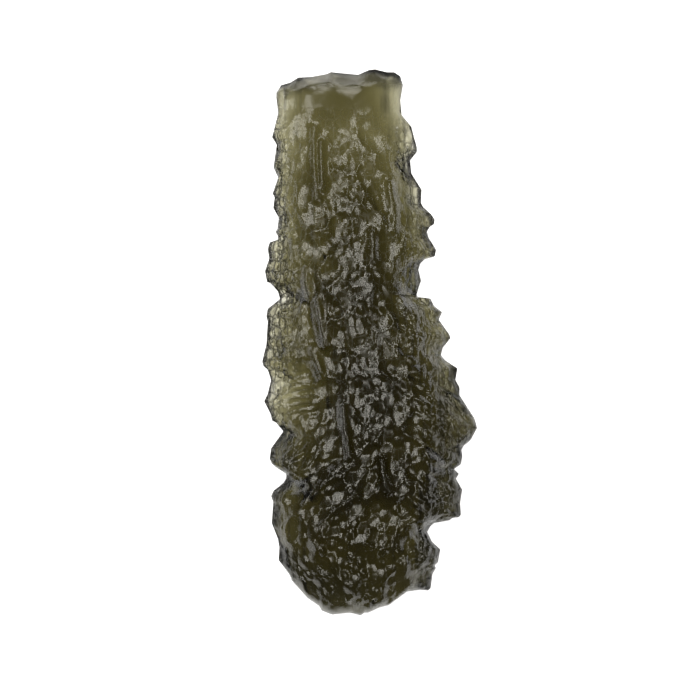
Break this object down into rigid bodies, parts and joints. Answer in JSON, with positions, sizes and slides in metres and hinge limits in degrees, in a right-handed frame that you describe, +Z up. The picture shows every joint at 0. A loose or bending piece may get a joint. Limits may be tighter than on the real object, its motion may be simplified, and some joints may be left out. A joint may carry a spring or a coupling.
{
  "type": "moldavite stone",
  "caption": "Elongated natural green glass stone, pitted and grooved, with jagged thin rims, one flat broken end and one rounded end.",
  "frame": {"origin": "centre of the outline seen from above, on the resting plane under the stone", "axes": "+Z up from the surface the stone lies on, +Y along the stone towards its flat broken end, +X across it"},
  "size_m": [0.0156, 0.04, 0.0058],
  "materials": {
    "green_glass": "see-through olive green natural glass, glossy to satin on a deeply pitted natural skin"
  },
  "bodies": {
    "root": {"moldavite": "green_glass"}
  },
  "joints": []
}
